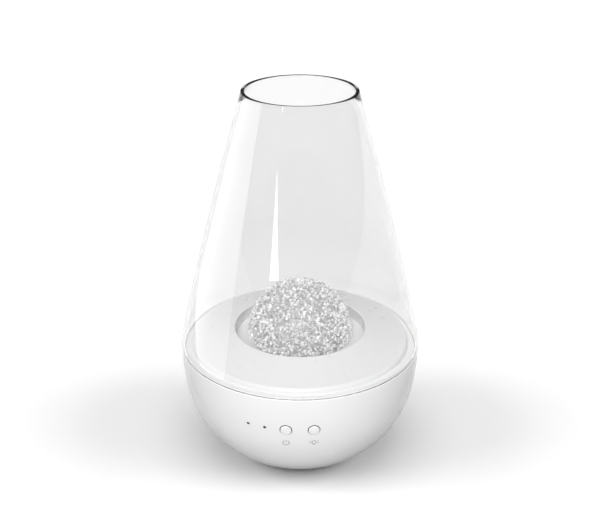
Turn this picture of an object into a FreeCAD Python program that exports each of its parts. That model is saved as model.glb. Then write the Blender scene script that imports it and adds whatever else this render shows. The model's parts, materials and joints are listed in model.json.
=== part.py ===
"""Cool mist humidifier: a white bowl holding a water tank, an ultrasonic mist maker, a fan and a lamp,
with a lid that carries a dome of glass chips, under an open-topped glass cover.
Millimetres, +Z up, front towards -Y, origin at the middle of the underside of the feet."""
import FreeCAD, Part
import math
import os

os.makedirs("parts", exist_ok=True)

# ---- Driving dimensions ----
HEIGHT = 250.0              # feet to glass mouth
SEAM_R = 80.0               # widest radius, where glass meets bowl
SEAM_Z = 77.6               # top of the bowl rim
SIDE_ARC = 151.35           # bowl side, radius of the gentle upper arc
SIDE_TURN = math.radians(11.32)
BELLY_ARC = 69.32           # bowl belly, radius of the tighter lower arc
WALL = 2.5                  # bowl wall
FOOT_HEIGHT = 1.5           # gap between the table and the bowl
GLASS = 2.3                 # glass thickness
HEEL_ARC = 30.0             # small arc where the glass turns in above the seam
HEEL_TURN = math.radians(12.8)
GLASS_ARC = 2716.0          # long, almost straight side of the glass
SEAT = 0.5                  # seat ring thickness under the glass

PLATE_R = 40.0              # bottom plate
PLATE_TOP = 4.0
BOTTOM_SCREW_R = 35.5       # bolt circle of the bottom screws
FEET_R = 32.0               # circle of the feet
TANK_R = 60.0               # outside of the tank wall
TANK_WALL = 2.0
TANK_FLOOR = 34.0           # underside of the tank floor
LEDGE_Z = 73.5              # ledge that carries the tank flange
TANK_TOP = 76.0             # top of the tank flange
TANK_SCREW_R = 69.0
AIR = (26.0, 26.0)          # axis of the fan, its duct and the air tube
FAN_SIZE = 30.0
FAN_BOTTOM = 18.0
FAN_TOP = 26.0
PIEZO = (0.0, -27.0)        # axis of the mist maker
FLOAT = (34.0, 0.0)         # axis of the level float
GUIDE_R = 7.0               # light guide column
LAMP_Z = 28.6               # top of the lamp board

SHOULDER_Z = 77.8           # top of the lid flange
TRAY_R = 72.4               # outside of the raised tray of the lid
TRAY_EDGE_Z = 82.0
TRAY_ROUND = 2.6            # rounding of the tray edge
WELL_R = 43.5
WELL_RIM_Z = 88.3
WELL_FLOOR = 80.0
CRYSTAL_R = 34.9            # dome of glass chips
CRYSTAL_Z = 84.9            # centre of the dome
CHIP_LAYER = 1.9

BUTTON_Z = 55.4             # height of the button centres
BUTTON_X = 8.75             # each button from the middle
BUTTON_R = 3.5
BUTTON_HOLE_R = 4.0
BUTTON_PROUD = 0.7          # button face above the bowl surface
PANEL_TILT = 8.4            # degrees that the bowl faces down at the buttons
BOARD_DEPTH = 13.0          # button board behind the bowl surface
LIGHT_DOTS = (-32.4, -22.0) # indicator lights from the middle
DOT_R = 1.0
PANEL_POSTS = (-16.2, 0.0)
JACK_Z = 22.0
JACK_FACE = 58.0            # flat at the bottom of the jack pocket, from the axis

UP = FreeCAD.Vector(0, 0, 1)
BACK = FreeCAD.Vector(0, 1, 0)


# ---- Helpers ----
def at(x, y, z):
    return FreeCAD.Vector(x, y, z)


def disc(radius, bottom, top, x=0.0, y=0.0):
    return Part.makeCylinder(radius, top - bottom, at(x, y, bottom))


def ring(outer, inner, bottom, top, x=0.0, y=0.0):
    return disc(outer, bottom, top, x, y).cut(disc(inner, bottom - 1, top + 1, x, y))


def cone(low_radius, high_radius, bottom, top, x=0.0, y=0.0):
    return Part.makeCone(low_radius, high_radius, top - bottom, at(x, y, bottom))


def block(x0, x1, y0, y1, z0, z1):
    return Part.makeBox(x1 - x0, y1 - y0, z1 - z0, at(x0, y0, z0))


def backward(radius, y0, y1, x=0.0, z=JACK_Z):
    """Cylinder along +Y, from y0 to y1."""
    return Part.makeCylinder(radius, y1 - y0, at(x, y0, z), BACK)


def turned(shape, degrees, x=0.0, y=0.0):
    copy = shape.copy()
    copy.rotate(at(x, y, 0), UP, degrees)
    return copy


def around(shape, count, first=0.0, x=0.0, y=0.0):
    return [turned(shape, first + index * 360.0 / count, x, y) for index in range(count)]


def joined(shapes):
    return shapes[0].fuse(shapes[1:]).removeSplitter()


def without(shape, tools):
    return shape.cut(tools)


def save(name, *shapes):
    shape = shapes[0] if len(shapes) == 1 else Part.makeCompound(list(shapes))
    shape.exportStep("parts/" + name + ".step")


def on_circle(centre, radius, angle):
    return centre[0] + radius * math.cos(angle), centre[1] + radius * math.sin(angle)


def lathe(start, *steps):
    """Turned solid. A step is a point for a straight run, or a (middle, end) pair for an arc."""
    edges = []
    here = at(start[0], 0, start[1])
    for step in steps + (start,):
        if isinstance(step[0], tuple):
            middle, end = [at(r, 0, z) for r, z in step]
            edges.append(Part.Arc(here, middle, end).toShape())
        else:
            end = at(step[0], 0, step[1])
            edges.append(Part.makeLine(here, end))
        here = end
    return Part.Face(Part.Wire(edges)).revolve(at(0, 0, 0), UP, 360)


def on_panel(shape):
    """Places a shape drawn on the button panel: x right, y up, z out of the bowl surface."""
    tilt = math.radians(PANEL_TILT)
    across = at(1, 0, 0)
    outward = at(0, -math.cos(tilt), -math.sin(tilt))
    upward = outward.cross(across)
    radius = bowl_radius(BUTTON_Z, 0)
    copy = shape.copy()
    copy.Placement = FreeCAD.Placement(at(0, -radius, BUTTON_Z),
                                       FreeCAD.Rotation(across, upward, outward, "ZXY"))
    return copy


def panel_disc(radius, back, front, x, y=0.0):
    return on_panel(Part.makeCylinder(radius, front - back, at(x, y, back)))


def panel_block(x0, x1, y0, y1, back, front):
    return on_panel(block(x0, x1, y0, y1, back, front))


# ---- Outlines ----
SIDE_CENTRE = (SEAM_R - SIDE_ARC, SEAM_Z)
BELLY_CENTRE = on_circle(SIDE_CENTRE, SIDE_ARC - BELLY_ARC, -SIDE_TURN)
HEEL_CENTRE = (SEAM_R - HEEL_ARC, SEAM_Z)
GLASS_CENTRE = on_circle(HEEL_CENTRE, HEEL_ARC - GLASS_ARC, HEEL_TURN)


def bowl_radius(z, inset):
    radius = SIDE_ARC - inset
    return SIDE_CENTRE[0] + math.sqrt(radius ** 2 - (z - SEAM_Z) ** 2)


def bowl_solid(inset, bottom):
    """The bowl filled solid up to its rim, with its outside moved in by inset."""
    side = SIDE_ARC - inset
    belly = BELLY_ARC - inset
    low = math.asin((bottom - BELLY_CENTRE[1]) / belly)
    return lathe((0, SEAM_Z), on_circle(SIDE_CENTRE, side, 0),
                 (on_circle(SIDE_CENTRE, side, -SIDE_TURN / 2), on_circle(SIDE_CENTRE, side, -SIDE_TURN)),
                 (on_circle(BELLY_CENTRE, belly, (low - SIDE_TURN) / 2), on_circle(BELLY_CENTRE, belly, low)),
                 (0, bottom))


def glass_solid(inset, bottom, top):
    """The glass cover filled solid, with its outside moved in by inset."""
    heel = HEEL_ARC - inset
    side = GLASS_ARC - inset
    start = math.asin((bottom - SEAM_Z) / heel)
    end = math.asin((top - GLASS_CENTRE[1]) / side)
    return lathe((0, bottom), on_circle(HEEL_CENTRE, heel, start),
                 (on_circle(HEEL_CENTRE, heel, (start + HEEL_TURN) / 2),
                  on_circle(HEEL_CENTRE, heel, HEEL_TURN)),
                 (on_circle(GLASS_CENTRE, side, (HEEL_TURN + end) / 2), on_circle(GLASS_CENTRE, side, end)),
                 (0, top))


# ---- Outside ----
def glass_cover():
    lip = GLASS / 2
    bottom = SEAM_Z + SEAT
    outside = glass_solid(0, bottom, HEIGHT - lip)
    inside = glass_solid(GLASS, bottom, HEIGHT - lip)
    angle = math.asin((HEIGHT - lip - GLASS_CENTRE[1]) / GLASS_ARC)
    middle = on_circle(GLASS_CENTRE, GLASS_ARC - lip, angle)[0]
    fire_polished_rim = Part.makeTorus(middle, lip, at(0, 0, HEIGHT - lip))
    return joined([without(outside, [inside]), fire_polished_rim])


def glass_seat_ring():
    flat = ring(79.7, 77.0, SEAM_Z, SEAM_Z + SEAT)
    lip = ring(77.35, 77.0, SEAM_Z, SEAM_Z + 2)
    return joined([flat, lip])


def button_openings():
    holes = [panel_disc(BUTTON_HOLE_R, -8, 4, side * BUTTON_X) for side in (-1, 1)]
    return holes + [panel_disc(DOT_R, -14, 0, x) for x in LIGHT_DOTS]


def bottom_bosses(radius, bottom, top):
    return around(disc(radius, bottom, top, BOTTOM_SCREW_R), 4)


def tank_bosses(radius, bottom, top):
    return around(disc(radius, bottom, top, TANK_SCREW_R), 4, 45)


def base_housing():
    skin = bowl_solid(1.0, PLATE_TOP)
    shell = without(bowl_solid(0, FOOT_HEIGHT), [bowl_solid(WALL, PLATE_TOP), disc(PLATE_R + 0.15, 0, 5)])
    shelf = ring(SEAM_R, 36, PLATE_TOP, PLATE_TOP + 2.5).common(skin)
    posts = [panel_disc(1.9, -BOARD_DEPTH, 0, x).common(skin) for x in PANEL_POSTS]
    pocket_wall = backward(9.5, JACK_FACE - 2.5, SEAM_R).common(bowl_solid(0, FOOT_HEIGHT))
    body = joined([shell, shelf, pocket_wall] + bottom_bosses(3.5, PLATE_TOP, 14) + posts)
    pilots = bottom_bosses(1.5, 0, 12) + [panel_disc(0.9, -BOARD_DEPTH - 1, -5, x) for x in PANEL_POSTS]
    pocket = [backward(7.2, JACK_FACE, SEAM_R), backward(4.0, 50, SEAM_R)]
    return without(body, pilots + pocket + button_openings())


def tank_support_ring():
    """Ring bonded inside the bowl, with the bosses that the tank is screwed to."""
    ledge = ring(SEAM_R, 66, LEDGE_Z - 2.5, LEDGE_Z).common(bowl_solid(WALL, PLATE_TOP))
    body = joined([ledge] + tank_bosses(3.2, LEDGE_Z - 13, LEDGE_Z - 1))
    return without(body, tank_bosses(1.5, LEDGE_Z - 11, LEDGE_Z + 1))


def bottom_plate():
    plate = disc(PLATE_R, FOOT_HEIGHT, PLATE_TOP)
    standoffs = [disc(2.5, PLATE_TOP - 1, 10, x, y) for x, y in BOARD_HOLES]
    body = joined([plate] + standoffs)
    slots = [block(5 + 5 * index, 7.2 + 5 * index, -16, 16, 0, 5) for index in range(5)]
    screw_holes = bottom_bosses(1.6, 0, 5) + bottom_bosses(3.0, 0, 2.6)
    pilots = [disc(1.1, PLATE_TOP, 11, x, y) for x, y in BOARD_HOLES]
    foot_seats = around(disc(5.2, 0, 2.2, FEET_R), 4, 45)
    return without(body, slots + screw_holes + pilots + foot_seats)


def rubber_feet():
    foot = joined([disc(5.0, 0.6, 2.2, FEET_R), cone(4.4, 5.0, 0, 0.6, FEET_R)])
    return around(foot, 4, 45)


def bottom_screws():
    screw = joined([disc(2.8, 1.7, 2.6, BOTTOM_SCREW_R), disc(1.5, 2.6, 11, BOTTOM_SCREW_R)])
    return around(screw, 4)


# ---- Tank ----
def piezo_screw_places(radius, bottom, top):
    return around(disc(radius, bottom, top, PIEZO[0] + 16, PIEZO[1]), 3, 30, *PIEZO)


def lamp_screw_places(radius, bottom, top):
    return [disc(radius, bottom, top, x) for x in (-14, 14)]


def water_tank():
    floor_top = TANK_FLOOR + TANK_WALL
    wall = without(disc(TANK_R, TANK_FLOOR, TANK_TOP), [disc(TANK_R - TANK_WALL, floor_top, TANK_TOP + 1)])
    flange = ring(76.8, TANK_R - 1, TANK_TOP - 2, TANK_TOP)
    float_post = disc(3, TANK_FLOOR, 58, *FLOAT)
    bosses = piezo_screw_places(2.5, 31.8, TANK_FLOOR + 1) + lamp_screw_places(2.5, LAMP_Z, TANK_FLOOR + 1)
    body = joined([wall, flange, float_post] + bosses)
    bores = [disc(8, 20, 70, *AIR), disc(1.9, 30, 56, *FLOAT), disc(8, 30, 40, *PIEZO),
             disc(GUIDE_R + 0.1, 30, 40)]
    pilots = piezo_screw_places(1.0, 31, 35.2) + lamp_screw_places(1.0, 28, 35.2)
    screw_holes = tank_bosses(1.6, 70, 80) + tank_bosses(3.0, TANK_TOP - 0.9, 80)
    return without(body, bores + pilots + screw_holes)


def tank_screws():
    head = TANK_TOP - 0.9
    screw = joined([disc(2.8, head, TANK_TOP, TANK_SCREW_R), disc(1.5, LEDGE_Z - 10, head, TANK_SCREW_R)])
    return around(screw, 4, 45)


def piezo_retainer():
    plate = disc(12, 30.3, 31.8, *PIEZO)
    arms = around(block(PIEZO[0], PIEZO[0] + 16, PIEZO[1] - 3, PIEZO[1] + 3, 30.3, 31.8), 3, 30, *PIEZO)
    body = joined([plate] + arms + piezo_screw_places(3.0, 30.3, 31.8))
    return without(body, [disc(7, 29, 33, *PIEZO)] + piezo_screw_places(1.1, 29, 33))


def small_screw(x, y, under_head, length, head_down):
    """Pan-head screw on a vertical axis, with its head above or below the clamped face."""
    if head_down:
        return joined([disc(2.0, under_head - 1.4, under_head, x, y),
                       disc(1.0, under_head, under_head + length, x, y)])
    return joined([disc(2.0, under_head, under_head + 1.4, x, y),
                   disc(1.0, under_head - length, under_head, x, y)])


def light_guide():
    flange_bottom = TANK_FLOOR + TANK_WALL + 1
    column = disc(GUIDE_R, LAMP_Z + 2, 77.2)
    flange = disc(9.5, flange_bottom, flange_bottom + 2)
    tip = cone(GUIDE_R, GUIDE_R - 0.6, 77.2, 77.7)
    return joined([column, flange, tip])


def float_ring():
    body = ring(9, 3.4, 36.3, 46.3, *FLOAT)
    return without(body, [ring(6.8, 4.2, 43.3, 47, *FLOAT)])


# ---- Fan ----
def fan_screw_places(radius, bottom, top):
    corner = disc(radius, bottom, top, AIR[0] + 12.2, AIR[1] + 12.2)
    return around(corner, 4, 0, *AIR)


def fan_square(bottom, top):
    half = FAN_SIZE / 2
    return block(AIR[0] - half, AIR[0] + half, AIR[1] - half, AIR[1] + half, bottom, top)


def fan_frame():
    shroud = without(fan_square(FAN_BOTTOM, FAN_TOP), [disc(13.8, 10, 30, *AIR)])
    arm = block(AIR[0] + 4, AIR[0] + 14.2, AIR[1] - 1, AIR[1] + 1, FAN_BOTTOM, FAN_BOTTOM + 1.5)
    hub = disc(5.5, FAN_BOTTOM, FAN_BOTTOM + 1.5, *AIR)
    axle = disc(1.0, FAN_BOTTOM + 1, FAN_TOP - 2, *AIR)
    body = joined([shroud, hub, axle] + around(arm, 3, 0, *AIR))
    return without(body, fan_screw_places(1.5, 10, 30))


def fan_rotor():
    hub = without(disc(6.2, FAN_BOTTOM + 2, FAN_TOP - 0.6, *AIR), [disc(1.05, 10, 30, *AIR)])
    middle = (FAN_BOTTOM + FAN_TOP) / 2 + 0.5
    blade = block(AIR[0] + 5.5, AIR[0] + 13.2, AIR[1] - 3.4, AIR[1] + 3.4, middle - 0.4, middle + 0.4)
    blade.rotate(at(AIR[0], AIR[1], middle), at(1, 0, 0), 38)
    blades = around(blade, 7, 0, *AIR)
    return joined([hub] + [item.common(disc(13.2, 10, 30, *AIR)) for item in blades])


def air_duct():
    outside = [fan_square(FAN_TOP, 27.5), cone(14.5, 9.8, 27.5, 31, *AIR), disc(9.8, 31, 33.9, *AIR)]
    inside = [cone(13.2, 8.05, FAN_TOP, 31, *AIR), disc(8.05, 31, 35, *AIR)]
    return without(joined(outside), inside + fan_screw_places(1.5, 20, 28))


# ---- Electronics ----
BOARD_TOP = 11.6
BOARD_HOLES = ((-25.0, -20.0), (-25.0, 15.0), (-7.0, -20.0), (-7.0, 15.0))
SOCKET_TOP = BOARD_TOP + 6
SOCKETS = ((-5.5, -14.0), (-5.5, -7.0), (-5.5, 0.0), (-5.5, 7.0))


def main_board():
    board = block(-29, -3, -24, 19, 10, BOARD_TOP)
    return without(board, [disc(1.1, 9, 12, x, y) for x, y in BOARD_HOLES])


def board_inductor():
    flanges = [disc(5, BOARD_TOP, BOARD_TOP + 1.2, -16, -13),
               disc(5, BOARD_TOP + 7.8, BOARD_TOP + 9, -16, -13)]
    return joined(flanges + [disc(4.2, BOARD_TOP + 1, BOARD_TOP + 8, -16, -13)])


def board_capacitor():
    can = disc(4, BOARD_TOP, BOARD_TOP + 11, -25, -10)
    return without(can, [ring(4.5, 3.7, BOARD_TOP + 1.6, BOARD_TOP + 2.2, -25, -10)])


def driver_transistor():
    return joined([block(-24, -14, 4, 8, BOARD_TOP, BOARD_TOP + 9),
                   block(-24, -14, 6.8, 8, BOARD_TOP + 9, BOARD_TOP + 14)])


def heat_sink():
    back = block(-28, -10, 8, 10, BOARD_TOP, BOARD_TOP + 16)
    fins = [block(-28 + 4 * index, -26.6 + 4 * index, 9, 13.5, BOARD_TOP + 3, BOARD_TOP + 16)
            for index in range(5)]
    return joined([back] + fins)


def board_sockets():
    return [without(block(x - 2, x + 2, y - 3, y + 3, BOARD_TOP, SOCKET_TOP),
                    [block(x - 1.2, x + 1.2, y - 2.2, y + 2.2, BOARD_TOP + 2, SOCKET_TOP + 1)])
            for x, y in SOCKETS]


def button_board():
    board = panel_block(-35, 15, -6.5, 6.5, -BOARD_DEPTH - 1.6, -BOARD_DEPTH)
    return without(board, [panel_disc(1.0, -20, -5, x) for x in PANEL_POSTS])


def tact_switch(x):
    body = panel_block(x - 3, x + 3, -3, 3, -BOARD_DEPTH, -BOARD_DEPTH + 3.6)
    return without(body, [panel_disc(1.8, -BOARD_DEPTH + 1.6, -5, x)])


def switch_plunger(x):
    return panel_disc(1.5, -BOARD_DEPTH + 2.4, -BOARD_DEPTH + 4.4, x)


def push_button(x):
    cap = panel_disc(BUTTON_R, -4.4, 3, x).common(bowl_solid(-BUTTON_PROUD, FOOT_HEIGHT))
    flange = panel_disc(4.9, -5.2, -4.2, x)
    stem = panel_disc(1.5, -BOARD_DEPTH + 4.4, -5, x)
    return joined([cap, flange, stem])


def panel_screws():
    back = -BOARD_DEPTH - 1.6
    return [joined([panel_disc(1.7, back - 1.2, back, x), panel_disc(0.85, back, back + 7, x)])
            for x in PANEL_POSTS]


def indicator_lens(x):
    return panel_disc(DOT_R - 0.1, -BOARD_DEPTH + 1.2, 2, x).common(bowl_solid(0, FOOT_HEIGHT))


def dc_jack():
    barrel = backward(3.95, 47, JACK_FACE)
    collar = backward(6.0, JACK_FACE, JACK_FACE + 1.4)
    rear = block(-4.5, 4.5, 44, 48, JACK_Z - 4.5, JACK_Z + 4.5)
    tabs = [block(x - 1, x + 1, 41.8, 44.5, JACK_Z - 0.4, JACK_Z + 0.4) for x in (-2.5, 2.5)]
    return without(joined([barrel, collar, rear] + tabs), [backward(2.85, 49, 70)])


def jack_nut():
    wall_back = JACK_FACE - 2.5
    corners = [on_circle((0, JACK_Z), 6.2, math.radians(60 * index)) for index in range(6)]
    outline = Part.makePolygon([at(x, wall_back - 2, z) for x, z in corners + corners[:1]])
    nut = Part.Face(outline).extrude(at(0, 2, 0))
    return without(nut, [backward(3.95, 40, 60)])


# ---- Leads ----
def lead(points, radius=0.9):
    """Round lead along straight runs joined by tangent arcs, from the first point to the last."""
    places = [at(*point) for point in points]
    edges, here = [], places[0]
    for before, corner, after in zip(places, places[1:], places[2:]):
        into = (corner - before).normalize()
        out = (after - corner).normalize()
        half = into.getAngle(out) / 2
        reach = 0.45 * min((corner - before).Length, (after - corner).Length)
        bend = reach / math.tan(half)
        start, end = corner - into * reach, corner + out * reach
        inward = (out - into).normalize()
        middle = corner + inward * (bend / math.cos(half) - bend)
        edges += [Part.makeLine(here, start), Part.Arc(start, middle, end).toShape()]
        here = end
    edges.append(Part.makeLine(here, places[-1]))
    first = Part.Wire(Part.makeCircle(radius, places[0], places[1] - places[0]))
    return Part.Wire(edges).makePipeShell([first], True, True)


def socket_top(index):
    return SOCKETS[index] + (SOCKET_TOP,)


# ---- Lid and crystal ----
def reservoir_lid():
    rim = (WELL_R + 0.8, WELL_RIM_Z)
    round_centre = (TRAY_R - TRAY_ROUND, TRAY_EDGE_Z - TRAY_ROUND)
    body = lathe((12, WELL_FLOOR), (WELL_R, WELL_FLOOR), (WELL_R, WELL_RIM_Z - 0.8),
                 ((WELL_R + 0.23, WELL_RIM_Z - 0.23), rim), (TRAY_R - TRAY_ROUND, TRAY_EDGE_Z),
                 (on_circle(round_centre, TRAY_ROUND, math.radians(45)), (TRAY_R, round_centre[1])),
                 (TRAY_R, SHOULDER_Z),
                 (76.6, SHOULDER_Z), (76.6, TANK_TOP), (70.2, TANK_TOP), (70.2, 79.5), (57.5, 82.7),
                 (57.5, 71), (56, 71), (56, 83.1), (WELL_R + 2.2, 85.6), (WELL_R + 2.2, 78), (12, 78))
    bridges = [block(x - 1.5, x + 1.5, -50, 50, 76, 82) for x in (-7.5, 7.5)]
    slots = ring(41.2, 36.8, 77, 81).common(block(-24, 24, -50, 50, 76, 82)).cut(bridges)
    return without(body, [slots])


def light_window():
    return joined([disc(11.9, 78, WELL_FLOOR), ring(13.5, 11, 77, 78)])


def splash_baffle():
    plate = ring(48, 24, 66, 67.5)
    return joined([plate] + around(disc(1.7, 67, 78, 43.2), 3, 15))


def crystal_core():
    dome = Part.makeSphere(CRYSTAL_R - CHIP_LAYER - 0.1, at(0, 0, CRYSTAL_Z))
    skirt = disc(CRYSTAL_R - CHIP_LAYER - 0.1, WELL_FLOOR, CRYSTAL_Z)
    hollow = Part.makeSphere(CRYSTAL_R - CHIP_LAYER - 2.1, at(0, 0, CRYSTAL_Z))
    bore = disc(CRYSTAL_R - CHIP_LAYER - 2.1, WELL_FLOOR - 1, CRYSTAL_Z)
    above = block(-50, 50, -50, 50, WELL_FLOOR, 150)
    return without(joined([dome.common(above), skirt]), [hollow, bore])


def crystal_chip_layer():
    outside = joined([Part.makeSphere(CRYSTAL_R, at(0, 0, CRYSTAL_Z)), disc(CRYSTAL_R, 70, CRYSTAL_Z)])
    inner = CRYSTAL_R - CHIP_LAYER
    inside = joined([Part.makeSphere(inner, at(0, 0, CRYSTAL_Z)), disc(inner, 60, CRYSTAL_Z)])
    return without(outside, [inside]).common(block(-50, 50, -50, 50, WELL_FLOOR + 0.4, 150))


# ---- Write every piece ----
save("glass_cover", glass_cover())
save("glass_seat_ring", glass_seat_ring())
save("base_housing", base_housing())
save("tank_support_ring", tank_support_ring())
save("bottom_plate", bottom_plate())
save("rubber_feet", *rubber_feet())
save("bottom_screws", *bottom_screws())

save("water_tank", water_tank())
save("air_tube", ring(8, 6.5, TANK_FLOOR - 3, 64, *AIR))
save("tank_seal", ring(76, 73, LEDGE_Z, TANK_TOP - 2))
save("tank_screws", *tank_screws())
save("piezo_gasket", ring(11, 8, 32.8, TANK_FLOOR, *PIEZO))
save("piezo_disc", disc(10, 31.8, 32.8, *PIEZO))
save("piezo_retainer", piezo_retainer())
save("piezo_screws", *[turned(small_screw(16, PIEZO[1], 30.3, 4.6, True), 30 + 120 * index, *PIEZO)
                       for index in range(3)])
save("light_guide", light_guide())
save("guide_seal", ring(9.5, GUIDE_R, TANK_FLOOR + TANK_WALL, TANK_FLOOR + TANK_WALL + 1))
save("guide_nut", without(disc(10, TANK_FLOOR - 2.5, TANK_FLOOR), [disc(GUIDE_R, 30, 35)]))
save("lamp_board", without(block(-17, 17, -7, 7, LAMP_Z - 1.6, LAMP_Z), lamp_screw_places(1.1, 20, 30)))
save("lamp_leds", *[block(x - 1.4, x + 1.4, y - 1.4, y + 1.4, LAMP_Z, LAMP_Z + 1.2)
                    for x in (-3, 3) for y in (-3, 3)])
save("lamp_screws", *[small_screw(x, 0, LAMP_Z - 1.6, 6, True) for x in (-14, 14)])
save("float_ring", float_ring())
save("float_magnet", ring(6.7, 4.3, 43.3, 46.2, *FLOAT))
save("float_cap", disc(5, 58, 60, *FLOAT))
save("reed_switch", joined([disc(1.2, 42, 54, *FLOAT), disc(0.4, 36, 56, *FLOAT)]))

save("fan_frame", fan_frame())
save("fan_rotor", fan_rotor())
save("fan_screws", *[joined([low, high]) for low, high in
                     zip(fan_screw_places(2.3, 16.6, FAN_BOTTOM), fan_screw_places(1.4, FAN_BOTTOM, 27.5))])
save("air_duct", air_duct())

save("main_board", main_board())
save("board_screws", *[small_screw(x, y, BOARD_TOP, 6, False) for x, y in BOARD_HOLES])
save("board_inductor", board_inductor())
save("board_capacitor", board_capacitor())
save("driver_transistor", driver_transistor())
save("heat_sink", heat_sink())
save("board_sockets", *board_sockets())
save("button_board", button_board())
save("panel_screws", *panel_screws())
save("power_switch", tact_switch(-BUTTON_X))
save("light_switch", tact_switch(BUTTON_X))
save("indicator_leds", *[panel_block(x - 0.9, x + 0.9, -0.9, 0.9, -BOARD_DEPTH, -BOARD_DEPTH + 1.1)
                         for x in LIGHT_DOTS])
save("indicator_lenses", *[indicator_lens(x) for x in LIGHT_DOTS])
save("dc_jack", dc_jack())
save("jack_pin", backward(1.05, 49, 57.5))
save("jack_nut", jack_nut())
save("piezo_lead", lead((socket_top(0), (-5.5, -14, 22), (-3, -22, 25), (-1, -27, 27), (-1, -27, 31.8))))
save("lamp_lead", lead((socket_top(1), (-5.5, -7, 20), (-5, -3, 22), (-5, 1, 24), (-5, 1, 27))))
save("fan_lead", lead((socket_top(2), (-5.5, 0, 22), (-1, 8, 23), (5, 16, 21), (11, 16, 21))))
save("jack_lead", lead((socket_top(3), (-5.5, 7, 22), (-6, 17, 24), (-2.5, 32, 22), (-2.5, 41.8, 22))))

save("power_button", push_button(-BUTTON_X))
save("power_plunger", switch_plunger(-BUTTON_X))
save("light_button", push_button(BUTTON_X))
save("light_plunger", switch_plunger(BUTTON_X))

save("reservoir_lid", reservoir_lid())
save("light_window", light_window())
save("splash_baffle", splash_baffle())
save("crystal_core", crystal_core())
save("crystal_chip_layer", crystal_chip_layer())
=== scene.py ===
"""Looks of the cool mist humidifier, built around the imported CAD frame. Metres, +Z up, front towards -Y."""
import bpy
import bmesh
import json
import math
import random
from mathutils import Matrix, Vector


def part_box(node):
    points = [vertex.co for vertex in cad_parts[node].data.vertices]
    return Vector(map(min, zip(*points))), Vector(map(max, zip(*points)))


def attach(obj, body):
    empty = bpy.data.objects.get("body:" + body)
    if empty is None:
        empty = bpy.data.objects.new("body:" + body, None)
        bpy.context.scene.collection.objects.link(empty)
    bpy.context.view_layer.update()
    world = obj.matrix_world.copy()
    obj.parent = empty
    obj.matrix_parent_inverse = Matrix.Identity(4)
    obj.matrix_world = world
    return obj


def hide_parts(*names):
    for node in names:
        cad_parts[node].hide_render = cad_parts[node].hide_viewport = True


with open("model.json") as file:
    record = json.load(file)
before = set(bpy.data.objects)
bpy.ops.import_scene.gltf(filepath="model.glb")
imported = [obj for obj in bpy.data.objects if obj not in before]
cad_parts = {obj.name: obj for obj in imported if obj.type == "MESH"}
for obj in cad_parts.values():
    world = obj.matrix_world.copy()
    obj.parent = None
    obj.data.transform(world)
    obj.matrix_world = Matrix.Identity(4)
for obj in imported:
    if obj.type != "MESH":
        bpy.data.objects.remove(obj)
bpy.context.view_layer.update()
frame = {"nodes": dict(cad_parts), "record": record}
MM = 0.001

# ---- Sizes ----
SEAM_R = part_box("base_housing")[1].x        # widest radius
SEAM_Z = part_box("base_housing")[1].z        # top of the bowl rim
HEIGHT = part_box("glass_cover")[1].z
SEAT = 0.5 * MM                             # seat ring thickness under the glass
SEAT_TOP = SEAM_Z + SEAT
GLASS = 2.3 * MM
HEEL_ARC = 30 * MM                          # glass turning in above the seam
HEEL_TURN = math.radians(12.8)
GLASS_ARC = 2716 * MM                       # long side of the glass
SIDE_ARC = 151.35 * MM                      # upper side of the bowl
SIDE_TURN = math.radians(11.32)
BELLY_ARC = 69.32 * MM
BUTTON_Z = 55.4 * MM
BUTTON_X = 8.75 * MM
PANEL_TILT = math.radians(8.4)
CHIP_SEED = 7
CHIP_LAYERS = ((1700, 1.75 * MM), (2200, 1.15 * MM))    # how many chips and their largest radius
CHIP_TONES = (0.5, 0.58, 0.68, 0.8, 0.95, 1.0)
GOLDEN_TURN = 2.399963                      # spreads chips evenly round the dome, radians
NOISE_LOW, NOISE_HIGH = 0.3, 0.7            # part of a noise that its tone and roughness ranges span


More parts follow.
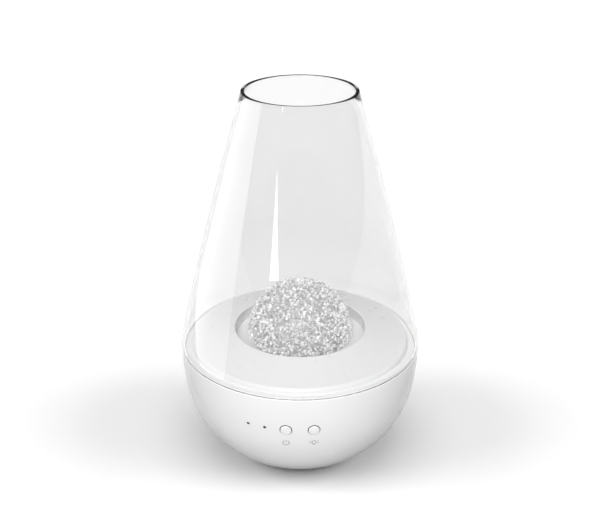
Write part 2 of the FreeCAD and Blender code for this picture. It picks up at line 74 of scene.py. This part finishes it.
# ---- Materials ----
class Material:
    """A Principled material with short helpers for procedural detail in object space."""

    def __init__(self, name, colour, roughness, **sockets):
        self.data = bpy.data.materials.new(name)
        self.data.use_nodes = True
        self.tree = self.data.node_tree
        self.shader = self.tree.nodes["Principled BSDF"]
        self.shader.inputs["Base Color"].default_value = (*colour, 1)
        self.shader.inputs["Roughness"].default_value = roughness
        for socket, value in sockets.items():
            self.shader.inputs[socket.replace("_", " ")].default_value = value
        self.place = self.tree.nodes.new("ShaderNodeTexCoord").outputs["Object"]

    def node(self, kind, **inputs):
        node = self.tree.nodes.new(kind)
        for socket, value in inputs.items():
            socket = node.inputs[socket.replace("_", " ")]
            if isinstance(value, bpy.types.NodeSocket):
                self.tree.links.new(value, socket)
            else:
                socket.default_value = value
        return node

    def noise(self, scale, detail=3.0, stretch=(1, 1, 1)):
        place = self.node("ShaderNodeMapping", Vector=self.place, Scale=stretch).outputs["Vector"]
        return self.node("ShaderNodeTexNoise", Vector=place, Scale=scale, Detail=detail).outputs["Fac"]

    def spread(self, value, low, high):
        return self.node("ShaderNodeMapRange", Value=value, From_Min=NOISE_LOW, From_Max=NOISE_HIGH,
                         To_Min=low, To_Max=high).outputs["Result"]

    def tint(self, value, low, high):
        ramp = self.tree.nodes.new("ShaderNodeValToRGB")
        self.tree.links.new(value, ramp.inputs["Fac"])
        ramp.color_ramp.elements[0].position = NOISE_LOW
        ramp.color_ramp.elements[0].color = (*low, 1)
        ramp.color_ramp.elements[1].position = NOISE_HIGH
        ramp.color_ramp.elements[1].color = (*high, 1)
        return ramp.outputs["Color"]

    def feed(self, socket, value):
        self.tree.links.new(value, self.shader.inputs[socket])
        return self

    def passes_light(self, share):
        """Rays from lamps and from matt surfaces go straight through, as thin clear glass lets them."""
        path = self.tree.nodes.new("ShaderNodeLightPath")
        both = self.node("ShaderNodeMath")
        both.operation = "MAXIMUM"
        self.tree.links.new(path.outputs["Is Shadow Ray"], both.inputs[0])
        self.tree.links.new(path.outputs["Is Diffuse Ray"], both.inputs[1])
        straight = self.node("ShaderNodeBsdfTransparent", Color=(share, share, share, 1))
        mix = self.tree.nodes.new("ShaderNodeMixShader")
        self.tree.links.new(both.outputs[0], mix.inputs[0])
        self.tree.links.new(self.shader.outputs[0], mix.inputs[1])
        self.tree.links.new(straight.outputs[0], mix.inputs[2])
        self.tree.links.new(mix.outputs[0], self.tree.nodes["Material Output"].inputs["Surface"])
        return self

    def bump(self, height, strength, distance):
        node = self.node("ShaderNodeBump", Height=height, Strength=strength, Distance=distance)
        return self.feed("Normal", node.outputs["Normal"])


def grey(value):
    return (value, value, value)


def clear_glass():
    material = Material("clear glass", grey(0.87), 0.0, IOR=1.45, Transmission_Weight=1.0)
    material.bump(material.noise(18, 1.0, (1, 1, 0.35)), 0.03, 0.4 * MM)
    return material.passes_light(0.97)


def white_gloss():
    material = Material("white gloss plastic", grey(0.86), 0.22, Coat_Weight=0.7, Coat_Roughness=0.06, IOR=1.5)
    material.feed("Base Color", material.tint(material.noise(30, 4), grey(0.855), grey(0.87)))
    material.feed("Roughness", material.spread(material.noise(160, 5), 0.18, 0.26))
    return material.bump(material.noise(900, 2), 0.02, 0.05 * MM)


def white_lid():
    material = Material("white lid plastic", grey(0.8), 0.3, Coat_Weight=0.25, Coat_Roughness=0.15)
    material.feed("Base Color", material.tint(material.noise(40, 4), grey(0.79), grey(0.81)))
    material.feed("Roughness", material.spread(material.noise(220, 5), 0.26, 0.36))
    return material.bump(material.noise(1400, 3), 0.01, 0.05 * MM)


def moulded(name, colour, roughness=0.45, grain=1800):
    material = Material(name, colour, roughness)
    darker = tuple(0.93 * part for part in colour)
    material.feed("Base Color", material.tint(material.noise(120, 4), darker, colour))
    material.feed("Roughness", material.spread(material.noise(300, 4), roughness - 0.07, roughness + 0.09))
    return material.bump(material.noise(grain, 4), 0.25, 0.06 * MM)


def silicone():
    material = Material("pale silicone", grey(0.83), 0.35, IOR=1.41)
    material.feed("Base Color", material.tint(material.noise(300, 3), grey(0.81), grey(0.85)))
    material.feed("Roughness", material.spread(material.noise(500, 3), 0.3, 0.42))
    return material.bump(material.noise(1500, 3), 0.2, 0.04 * MM)


def metal(name, colour, roughness, stretch=(1, 1, 1)):
    material = Material(name, colour, roughness, Metallic=1.0)
    darker = tuple(0.86 * part for part in colour)
    material.feed("Base Color", material.tint(material.noise(400, 5, stretch), darker, colour))
    wear = material.noise(700, 5, stretch)
    material.feed("Roughness", material.spread(wear, roughness - 0.08, roughness + 0.12))
    return material.bump(material.noise(900, 3, stretch), 0.12, 0.03 * MM)


def clear_acrylic(name, tone, roughness):
    material = Material(name, grey(tone), roughness, Transmission_Weight=1.0, IOR=1.49)
    material.feed("Roughness", material.spread(material.noise(250, 3), roughness, roughness + 0.06))
    return material.bump(material.noise(300, 2), 0.05, 0.1 * MM)


def circuit_board():
    material = Material("green circuit board", (0.02, 0.14, 0.05), 0.35, Coat_Weight=0.5, Coat_Roughness=0.2)
    tracks = material.node("ShaderNodeTexBrick", Vector=material.place, Scale=190.0, Mortar_Size=0.06,
                           Color1=(0.02, 0.14, 0.05, 1), Color2=(0.025, 0.17, 0.06, 1),
                           Mortar=(0.05, 0.27, 0.10, 1))
    material.feed("Base Color", tracks.outputs["Color"])
    return material.bump(tracks.outputs["Fac"], 0.4, 0.05 * MM)


def capacitor_can():
    material = Material("capacitor sleeve", (0.05, 0.07, 0.20), 0.3, Coat_Weight=0.4)
    material.feed("Base Color", material.tint(material.noise(260, 3), (0.04, 0.06, 0.17), (0.06, 0.09, 0.24)))
    return material.bump(material.noise(800, 3), 0.1, 0.03 * MM)


def chip_glass():
    material = Material("crushed crystal", grey(0.9), 0.12, IOR=1.75, Coat_Weight=1.0, Coat_Roughness=0.04)
    tone = material.tree.nodes.new("ShaderNodeAttribute")
    tone.attribute_name = "chip_tone"
    material.feed("Base Color", tone.outputs["Color"])
    material.bump(material.noise(700, 2), 0.12, 0.08 * MM)
    return material.passes_light(0.93)


def crystal_shell():
    material = Material("crystal carrier", grey(0.6), 0.2, IOR=1.5, Transmission_Weight=0.35)
    material.feed("Base Color", material.tint(material.noise(450, 5), grey(0.5), grey(0.9)))
    return material.bump(material.noise(600, 4), 0.5, 0.3 * MM)


def printed_grey():
    material = Material("printed symbol", grey(0.22), 0.5)
    material.feed("Base Color", material.tint(material.noise(900, 4), grey(0.17), grey(0.26)))
    return material.bump(material.noise(2500, 2), 0.1, 0.02 * MM)


def floor_white():
    material = Material("studio floor", grey(0.97), 0.9, Specular_IOR_Level=0.1)
    material.feed("Roughness", material.spread(material.noise(25, 4), 0.85, 0.95))
    path = material.tree.nodes.new("ShaderNodeLightPath")
    dim = material.node("ShaderNodeBsdfDiffuse", Color=(*grey(0.2), 1))
    mix = material.tree.nodes.new("ShaderNodeMixShader")
    material.tree.links.new(path.outputs["Is Diffuse Ray"], mix.inputs[0])
    material.tree.links.new(material.shader.outputs[0], mix.inputs[1])
    material.tree.links.new(dim.outputs[0], mix.inputs[2])
    material.tree.links.new(mix.outputs[0], material.tree.nodes["Material Output"].inputs["Surface"])
    return material


MATERIALS = {
    "clear_glass": clear_glass(),
    "white_gloss": white_gloss(),
    "white_lid": white_lid(),
    "white_inner": moulded("white moulded plastic", grey(0.7), 0.42),
    "clear_silicone": silicone(),
    "black_rubber": moulded("black rubber", grey(0.025), 0.7, 1200),
    "screw_steel": metal("zinc plated steel", (0.60, 0.60, 0.58), 0.32),
    "mist_disc": metal("steel mist disc", (0.66, 0.65, 0.62), 0.28),
    "clear_acrylic": clear_acrylic("clear acrylic", 0.93, 0.03),
    "frosted_acrylic": clear_acrylic("frosted acrylic", 0.9, 0.35),
    "crystal_glass": crystal_shell(),
    "circuit_board": circuit_board(),
    "black_plastic": moulded("black moulded plastic", grey(0.03), 0.42),
    "switch_plunger": moulded("red plunger", (0.30, 0.04, 0.03), 0.4),
    "socket_white": moulded("nylon socket", (0.70, 0.68, 0.62), 0.5),
    "lamp_white": moulded("lamp phosphor", (0.82, 0.76, 0.42), 0.35),
    "ferrite": moulded("ferrite", grey(0.06), 0.6, 900),
    "capacitor_can": capacitor_can(),
    "heat_sink_aluminium": metal("extruded aluminium", (0.78, 0.78, 0.80), 0.36, (1, 1, 0.1)),
    "jack_brass": metal("plated brass", (0.72, 0.62, 0.38), 0.25),
    "reed_glass": clear_acrylic("green glass tube", 0.7, 0.03),
}
CHIPS = chip_glass()
SYMBOLS = printed_grey()


def finish_nodes():
    slots = {part["node"]: part["material_slot"] for part in frame["record"]["subparts"]}
    for name, node in frame["nodes"].items():
        node.data.materials.clear()
        node.data.materials.append(MATERIALS[slots[name]].data)
        node.data.shade_smooth()
        edges = node.modifiers.new("smooth by angle", "EDGE_SPLIT")
        edges.split_angle = math.radians(28)


# ---- Mesh helpers ----
def new_object(name, mesh, material, smooth=True):
    thing = bpy.data.objects.new(name, mesh)
    bpy.context.scene.collection.objects.link(thing)
    mesh.materials.append(material.data)
    if smooth:
        mesh.shade_smooth()
    return thing


def on_circle(centre, radius, angle):
    return centre[0] + radius * math.cos(angle), centre[1] + radius * math.sin(angle)


def arc(centre, radius, start, end, count):
    return [on_circle(centre, radius, start + (end - start) * step / count) for step in range(count + 1)]


def lathe(name, outline, material, turns=192, closed=True):
    """Turned mesh about Z from (radius, height) points."""
    vertices, faces = [], []
    for turn in range(turns):
        angle = math.tau * turn / turns
        vertices += [(r * math.cos(angle), r * math.sin(angle), z) for r, z in outline]
    count = len(outline)
    for turn in range(turns):
        here, there = turn * count, (turn + 1) % turns * count
        for step in range(count if closed else count - 1):
            after = (step + 1) % count
            faces.append((here + step, there + step, there + after, here + after))
    mesh = bpy.data.meshes.new(name)
    mesh.from_pydata(vertices, [], faces)
    outward = bmesh.new()
    outward.from_mesh(mesh)
    bmesh.ops.remove_doubles(outward, verts=outward.verts, dist=1e-7)
    bmesh.ops.recalc_face_normals(outward, faces=outward.faces)
    outward.to_mesh(mesh)
    outward.free()
    return new_object(name, mesh, material)


# ---- Outlines that follow the CAD surfaces ----
SIDE_CENTRE = (SEAM_R - SIDE_ARC, SEAM_Z)
BELLY_CENTRE = on_circle(SIDE_CENTRE, SIDE_ARC - BELLY_ARC, -SIDE_TURN)
HEEL_CENTRE = (SEAM_R - HEEL_ARC, SEAM_Z)
GLASS_CENTRE = on_circle(HEEL_CENTRE, HEEL_ARC - GLASS_ARC, HEEL_TURN)


def bowl_radius(z):
    return SIDE_CENTRE[0] + math.sqrt(SIDE_ARC ** 2 - (z - SEAM_Z) ** 2)


def glass_side(inset, bottom, top):
    heel, side = HEEL_ARC - inset, GLASS_ARC - inset
    start = math.asin((bottom - SEAM_Z) / heel)
    end = math.asin((top - GLASS_CENTRE[1]) / side)
    return arc(HEEL_CENTRE, heel, start, HEEL_TURN, 10) + arc(GLASS_CENTRE, side, HEEL_TURN, end, 24)[1:]


def glass_cover():
    lip = GLASS / 2
    corner = 0.35 * MM
    outside = glass_side(0, SEAT_TOP + corner, HEIGHT - lip)
    inside = glass_side(GLASS, SEAT_TOP + corner, HEIGHT - lip)
    round_r = 0.6 * MM
    rim = arc((outside[-1][0] - round_r, HEIGHT - round_r), round_r, 0, math.pi / 2, 5)
    rim += arc((inside[-1][0] + round_r, HEIGHT - round_r), round_r, math.pi / 2, math.pi, 5)
    foot = [(inside[0][0] + corner, SEAT_TOP), (outside[0][0] - corner, SEAT_TOP)]
    cover = lathe("glass_cover_blown", outside[:-1] + rim + inside[:-1][::-1] + foot,
                  MATERIALS["clear_glass"], 256)
    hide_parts("glass_cover")
    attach(cover, "cover")
    return cover


def chip_shapes(draw, count=36, corners=9):
    """Convex faceted chips about one unit in radius, as (points, faces)."""
    shapes = []
    for _ in range(count):
        chip = bmesh.new()
        for _ in range(corners):
            way = Vector((draw.gauss(0, 1), draw.gauss(0, 1), draw.gauss(0, 1))).normalized()
            chip.verts.new(way * draw.uniform(0.8, 1.0))
        bmesh.ops.convex_hull(chip, input=chip.verts)
        bmesh.ops.delete(chip, geom=[point for point in chip.verts if not point.link_faces], context="VERTS")
        chip.verts.index_update()
        shapes.append(([point.co.copy() for point in chip.verts],
                       [[point.index for point in face.verts] for face in chip.faces]))
        chip.free()
    return shapes


def crystal_chips():
    """Dome of crushed glass: irregular faceted chips scattered evenly over the carrier."""
    draw = random.Random(CHIP_SEED)
    shapes = chip_shapes(draw)
    low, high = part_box("crystal_chip_layer")
    dome_r = high.x
    centre = Vector((0, 0, high.z - dome_r))
    vertices, faces, tones = [], [], []
    for count, size in CHIP_LAYERS:
        for index in range(count):
            radius = size * draw.uniform(0.65, 1.0)
            bottom = low.z - centre.z + radius
            room = dome_r - radius * 1.05 - low.z + centre.z
            rise = bottom + room * (index + 0.5) / count
            turn = index * GOLDEN_TURN + draw.uniform(-0.25, 0.25)
            reach = dome_r - radius * draw.uniform(0.55, 1.25)
            flat = reach if rise < 0 else math.sqrt(max(0, reach ** 2 - min(rise, reach) ** 2))
            middle = centre + Vector((flat * math.cos(turn), flat * math.sin(turn), min(rise, reach)))
            points, sides = draw.choice(shapes)
            spin = (Matrix.Rotation(draw.uniform(0, math.tau), 3, "Z")
                    @ Matrix.Rotation(draw.uniform(0, math.pi), 3, "X"))
            first = len(vertices)
            vertices += [middle + spin @ point * radius for point in points]
            faces += [[first + corner for corner in side] for side in sides]
            tone = draw.choice(CHIP_TONES)
            tones += [tone] * sum(len(side) for side in sides)
    mesh = bpy.data.meshes.new("crystal_chips")
    mesh.from_pydata(vertices, [], faces)
    colours = mesh.color_attributes.new("chip_tone", "FLOAT_COLOR", "CORNER")
    colours.data.foreach_set("color", [part for tone in tones for part in (tone, tone, tone, 1)])
    chips = new_object("crystal_chips", mesh, CHIPS, smooth=False)
    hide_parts("crystal_chip_layer")
    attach(chips, "crystal")


# ---- Buttons and their printed symbols ----
def panel_place(x, y, proud=0.0):
    """A point on the bowl, x to the right and y up from the button line, and the outward way there."""
    z = BUTTON_Z + y * math.cos(PANEL_TILT)
    radius = bowl_radius(z)
    angle = math.asin(x / radius)
    slope = math.asin((SEAM_Z - z) / SIDE_ARC)
    outward = Vector((math.sin(angle) * math.cos(slope), -math.cos(angle) * math.cos(slope), -math.sin(slope)))
    return Vector((x, -radius * math.cos(angle), z)) + outward * proud, outward


def button_cap(name, node, body, x):
    """Push button with a rounded edge, a slightly domed face, a flange and a stem, and a black ring in its gap
    that is painted shade: it stands in for the shadow down the gap round the cap.
    """
    face, outward = panel_place(x, 0)
    radius, proud, crown, edge = 3.5 * MM, 0.7 * MM, 0.15 * MM, 0.4 * MM
    flange_r, flange_top, flange_bottom = 4.8 * MM, -4.2 * MM, -5.1 * MM
    stem_r, stem_end = 1.5 * MM, -7.8 * MM
    # The black ring round the cap is painted shade: a dark part put where the gap holds only shadow.
    painted_shade_sleeve_r, painted_shade_sleeve_top, painted_shade_sleeve_bottom = radius + 0.05 * MM, 0.15 * MM, -1.5 * MM
    outline = [(radius * step / 5, proud - crown * (step / 5) ** 2) for step in range(4)]
    outline += arc((radius - edge, proud - crown - edge), edge, math.radians(75), 0, 8)
    outline += [(radius, flange_top), (flange_r, flange_top), (flange_r, flange_bottom), (stem_r, flange_bottom),
                (stem_r, stem_end), (0, stem_end)]
    cap = lathe(name, outline, MATERIALS["white_gloss"], 64, closed=False)
    # Painted shade: a black ring that darkens the gap round the cap in place of its shadow.
    painted_shade_sleeve = lathe(f"{name}_sleeve", [(painted_shade_sleeve_r, painted_shade_sleeve_top), (painted_shade_sleeve_r, painted_shade_sleeve_bottom)],
                   MATERIALS["black_plastic"], 64, closed=False)
    upright = Vector((0, 0, 1)).rotation_difference(outward).to_matrix().to_4x4()
    for part in (cap, painted_shade_sleeve):
        part.data.transform(Matrix.Translation(face) @ upright)
    edges = cap.modifiers.new("smooth by angle", "EDGE_SPLIT")
    edges.split_angle = math.radians(35)
    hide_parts(node)
    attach(cap, body)
    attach(painted_shade_sleeve, body)


def stroke(name, points, width):
    """Thin printed line on the bowl surface through (x, y) panel points."""
    sheet = bmesh.new()
    rails = []
    count = len(points)
    for index, (x, y) in enumerate(points):
        before = points[max(index - 1, 0)]
        after = points[min(index + 1, count - 1)]
        along = Vector((after[0] - before[0], after[1] - before[1])).normalized()
        side = Vector((-along.y, along.x)) * width / 2
        for sign in (1, -1):
            place, _ = panel_place(x + sign * side.x, y + sign * side.y, 0.05 * MM)
            rails.append(sheet.verts.new(place))
    for index in range(count - 1):
        after = index + 1
        sheet.faces.new((rails[2 * index], rails[2 * index + 1], rails[2 * after + 1], rails[2 * after]))
    mesh = bpy.data.meshes.new(name)
    sheet.to_mesh(mesh)
    sheet.free()
    line = new_object(name, mesh, SYMBOLS)
    thickness = line.modifiers.new("ink", "SOLIDIFY")
    thickness.thickness = 0.04 * MM
    thickness.offset = 0
    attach(line, "base")


SYMBOL_Y = -10.7 * MM
LINE = 0.35 * MM


def power_symbol():
    middle = (-BUTTON_X, SYMBOL_Y)
    ring = arc(middle, 2.0 * MM, math.radians(125), math.radians(415), 28)
    stroke("power_symbol_ring", ring, LINE)
    stroke("power_symbol_bar", [(middle[0], SYMBOL_Y + 0.3 * MM), (middle[0], SYMBOL_Y + 2.5 * MM)], LINE)


def lamp_symbol():
    x, y = BUTTON_X, SYMBOL_Y + 0.4 * MM
    bulb = arc((x, y), 1.35 * MM, math.radians(-60), math.radians(240), 24)
    neck = y - 2.0 * MM
    stroke("lamp_symbol_bulb", bulb, LINE)
    stroke("lamp_symbol_neck", [(x - 0.65 * MM, y - 1.55 * MM), (x + 0.65 * MM, y - 1.55 * MM)], LINE)
    stroke("lamp_symbol_foot", [(x - 0.45 * MM, neck), (x + 0.45 * MM, neck)], LINE)
    for index, turn in enumerate((-12, 25, 155, 192)):
        near = on_circle((x, y), 2.1 * MM, math.radians(turn))
        far = on_circle((x, y), 3.2 * MM, math.radians(turn))
        stroke(f"lamp_symbol_ray_{index + 1}", [near, far], 0.25 * MM)


# ---- Studio ----
SEEN_WHITE = 1.05                           # world as the camera sees it, also through glass
LIT_LOW, LIT_HIGH = 0.08, 0.37              # world as it lights and shows in reflections, behind and in front
LIT_WAY = (-0.15, -0.6, 0.45)               # towards its brighter side
LEFT_CARD = ((-0.35, -0.17, 0.001), (-0.35, -0.1, 0.32), (-0.35, 0.3, 0.32), (-0.35, 0.3, 0.001))
TAPERED_CARD = ((-1.22, -1.9, 0.2), (-1.25, -1.9, 0.62), (-0.8, -1.9, 0.22))
LENS = 63.15
EYE = (0, -0.6258, 0.4248)
EYE_TILT = math.radians(64.88)              # from straight down


def floor():
    bpy.ops.mesh.primitive_plane_add(size=16, location=(0, 4, 0))
    plane = bpy.context.object
    plane.name = "studio_floor"
    plane.data.materials.append(floor_white().data)
    return plane


def bright_card(name, corners, strength):
    """White card that is only seen mirrored in the shiny parts and lights nothing itself."""
    mesh = bpy.data.meshes.new(name)
    mesh.from_pydata(corners, [], [range(len(corners))])
    glow = bpy.data.materials.new(name)
    glow.use_nodes = True
    shader = glow.node_tree.nodes["Principled BSDF"]
    shader.inputs["Base Color"].default_value = (0, 0, 0, 1)
    shader.inputs["Emission Color"].default_value = (1, 1, 1, 1)
    shader.inputs["Emission Strength"].default_value = strength
    glow.cycles.emission_sampling = "NONE"
    mesh.materials.append(glow)
    card = bpy.data.objects.new(name, mesh)
    bpy.context.scene.collection.objects.link(card)
    card.visible_camera = False
    card.visible_diffuse = False
    card.visible_transmission = False
    card.visible_shadow = False


def sun_light(name, way, spread, strength, things, link):
    """Sun that leaves out the things or lights nothing but them, as link is "EXCLUDE" or "INCLUDE"."""
    data = bpy.data.lights.new(name, "SUN")
    data.energy = strength
    data.angle = math.radians(spread)
    lamp = bpy.data.objects.new(name, data)
    bpy.context.scene.collection.objects.link(lamp)
    lamp.rotation_euler = Vector(way).to_track_quat("-Z", "Y").to_euler()
    reach = bpy.data.collections.new(f"reach of {name}")
    lamp.light_linking.receiver_collection = reach
    for index, thing in enumerate(things):
        reach.objects.link(thing)
        reach.collection_objects[index].light_linking.link_state = link


def studio(cover, ground):
    world = bpy.data.worlds.new("studio")
    bpy.context.scene.world = world
    world.use_nodes = True
    tree = world.node_tree
    background = tree.nodes["Background"]
    background.inputs["Color"].default_value = (1, 1, 1, 1)
    place = tree.nodes.new("ShaderNodeTexCoord").outputs["Generated"]
    across = tree.nodes.new("ShaderNodeVectorMath")
    across.operation = "DOT_PRODUCT"
    across.inputs[1].default_value = LIT_WAY
    tree.links.new(place, across.inputs[0])
    ramp = tree.nodes.new("ShaderNodeMapRange")
    ramp.inputs["From Min"].default_value = -0.6
    ramp.inputs["From Max"].default_value = 0.7
    ramp.inputs["To Min"].default_value = LIT_LOW
    ramp.inputs["To Max"].default_value = LIT_HIGH
    tree.links.new(across.outputs["Value"], ramp.inputs["Value"])
    path = tree.nodes.new("ShaderNodeLightPath")
    seen = tree.nodes.new("ShaderNodeMath")
    seen.operation = "MAXIMUM"
    tree.links.new(path.outputs["Is Camera Ray"], seen.inputs[0])
    tree.links.new(path.outputs["Is Transmission Ray"], seen.inputs[1])
    strength = tree.nodes.new("ShaderNodeMix")
    strength.inputs["B"].default_value = SEEN_WHITE
    tree.links.new(seen.outputs[0], strength.inputs["Factor"])
    tree.links.new(ramp.outputs["Result"], strength.inputs["A"])
    tree.links.new(strength.outputs["Result"], background.inputs["Strength"])
    sun_light("high key", (0.0, 0.12, -0.99), 50, 0.95, [cover], "EXCLUDE")
    sun_light("front fill", (0.08, 0.8, -0.58), 26, 2.9, [cover, ground], "EXCLUDE")
    lid = frame["nodes"]["reservoir_lid"]
    sun_light("back fill", (-0.15, -0.85, -0.5), 40, 1.6, [cover, ground, lid], "EXCLUDE")
    sun_light("left wing", (0.85, 0.15, -0.5), 40, 1.8, [ground], "INCLUDE")
    sun_light("right wing", (-0.85, 0.15, -0.5), 40, 1.8, [ground], "INCLUDE")
    bright_card("left card", LEFT_CARD, 3.0)
    bright_card("tapered card", TAPERED_CARD, 14.0)


def camera():
    data = bpy.data.cameras.new("camera")
    data.sensor_width = 36
    data.lens = LENS
    eye = bpy.data.objects.new("camera", data)
    bpy.context.scene.collection.objects.link(eye)
    eye.location = EYE
    eye.rotation_euler = (EYE_TILT, 0, 0)
    bpy.context.scene.camera = eye


def rendering():
    scene = bpy.context.scene
    scene.view_settings.view_transform = "Standard"
    scene.cycles.use_denoising = True
    scene.cycles.max_bounces = 32
    scene.cycles.transmission_bounces = 32
    scene.cycles.diffuse_bounces = 4
    scene.cycles.caustics_refractive = False
    scene.cycles.caustics_reflective = False


finish_nodes()
glass = glass_cover()
crystal_chips()
button_cap("power_button_cap", "power_button", "power_key", -BUTTON_X)
button_cap("light_button_cap", "light_button", "light_key", BUTTON_X)
power_symbol()
lamp_symbol()
studio(glass, floor())
camera()
rendering()
